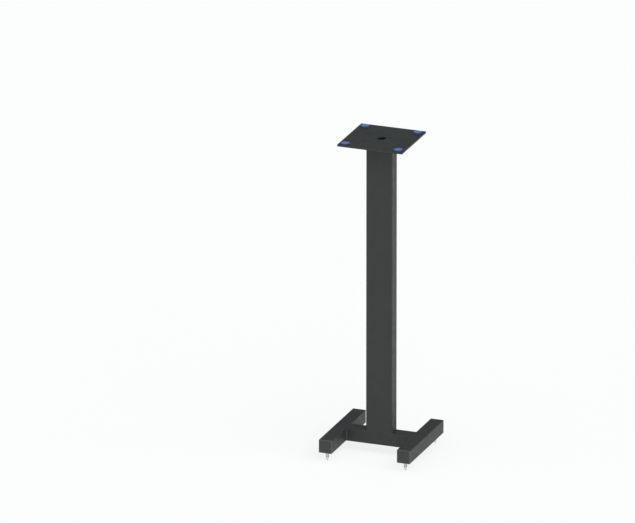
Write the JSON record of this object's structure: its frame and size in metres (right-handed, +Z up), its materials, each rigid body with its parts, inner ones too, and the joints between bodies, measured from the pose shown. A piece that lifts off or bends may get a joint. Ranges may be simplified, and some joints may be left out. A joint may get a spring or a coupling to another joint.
{
  "type": "speaker stand",
  "caption": "Loudspeaker floor stand: a square top plate with soft corner pads on a rectangular tube column, over an H-shaped tube base on adjustable spikes.",
  "frame": {"origin": "on the floor, in the plane of the spike tips, under the middle of the column", "axes": "+Z up, X along the cross bar, Y along the feet with the front at -Y"},
  "size_m": [0.1778, 0.1778, 0.6112],
  "materials": {
    "satin_black_coat": "satin black powder coat with a fine orange peel",
    "zinc_plated_steel": "dull bright zinc plate",
    "black_plastic": "fine-grained black moulding",
    "blue_rubber": "soft blue rubber with a slight gloss",
    "bright_steel": "bright turned steel"
  },
  "bodies": {
    "stand": {"top_plate": "satin_black_coat", "plate_weld": "satin_black_coat", "column_tube": "satin_black_coat", "cross_bar": "satin_black_coat", "left_foot": "satin_black_coat", "right_foot": "satin_black_coat", "left_foot_weld": "satin_black_coat", "right_foot_weld": "satin_black_coat", "column_foot_plate": "zinc_plated_steel", "left_column_bolt": "zinc_plated_steel", "right_column_bolt": "zinc_plated_steel", "left_column_washer": "zinc_plated_steel", "right_column_washer": "zinc_plated_steel", "front_left_spike_nut": "zinc_plated_steel", "front_right_spike_nut": "zinc_plated_steel", "back_left_spike_nut": "zinc_plated_steel", "back_right_spike_nut": "zinc_plated_steel", "front_left_end_cap": "black_plastic", "front_right_end_cap": "black_plastic", "back_left_end_cap": "black_plastic", "back_right_end_cap": "black_plastic", "front_left_pad": "blue_rubber", "front_right_pad": "blue_rubber", "back_left_pad": "blue_rubber", "back_right_pad": "blue_rubber"},
    "front_left_spike": {"front_left_spike": "bright_steel"},
    "front_right_spike": {"front_right_spike": "bright_steel"},
    "back_left_spike": {"back_left_spike": "bright_steel"},
    "back_right_spike": {"back_right_spike": "bright_steel"},
    "front_left_lock_nut": {"front_left_lock_nut": "zinc_plated_steel"},
    "front_right_lock_nut": {"front_right_lock_nut": "zinc_plated_steel"},
    "back_left_lock_nut": {"back_left_lock_nut": "zinc_plated_steel"},
    "back_right_lock_nut": {"back_right_lock_nut": "zinc_plated_steel"}
  },
  "joints": [
    {"name": "front_left_spike_screw", "type": "slide", "parent": "stand", "child": "front_left_spike", "axis": [0, 0, -1], "range_m": [-0.004, 0.008]},
    {"name": "front_left_lock_nut_turn", "type": "hinge", "parent": "stand", "child": "front_left_lock_nut", "pos_m": [-0.0762, -0.0774, 0.0165], "axis": [0, 0, -1], "range_deg": [0, 180]},
    {"name": "front_right_spike_screw", "type": "slide", "parent": "stand", "child": "front_right_spike", "axis": [0, 0, -1], "range_m": [-0.004, 0.008]},
    {"name": "front_right_lock_nut_turn", "type": "hinge", "parent": "stand", "child": "front_right_lock_nut", "pos_m": [0.0762, -0.0774, 0.0165], "axis": [0, 0, -1], "range_deg": [0, 180]},
    {"name": "back_left_spike_screw", "type": "slide", "parent": "stand", "child": "back_left_spike", "axis": [0, 0, -1], "range_m": [-0.004, 0.008]},
    {"name": "back_left_lock_nut_turn", "type": "hinge", "parent": "stand", "child": "back_left_lock_nut", "pos_m": [-0.0762, 0.0774, 0.0165], "axis": [0, 0, -1], "range_deg": [0, 180]},
    {"name": "back_right_spike_screw", "type": "slide", "parent": "stand", "child": "back_right_spike", "axis": [0, 0, -1], "range_m": [-0.004, 0.008]},
    {"name": "back_right_lock_nut_turn", "type": "hinge", "parent": "stand", "child": "back_right_lock_nut", "pos_m": [0.0762, 0.0774, 0.0165], "axis": [0, 0, -1], "range_deg": [0, 180]}
  ]
}
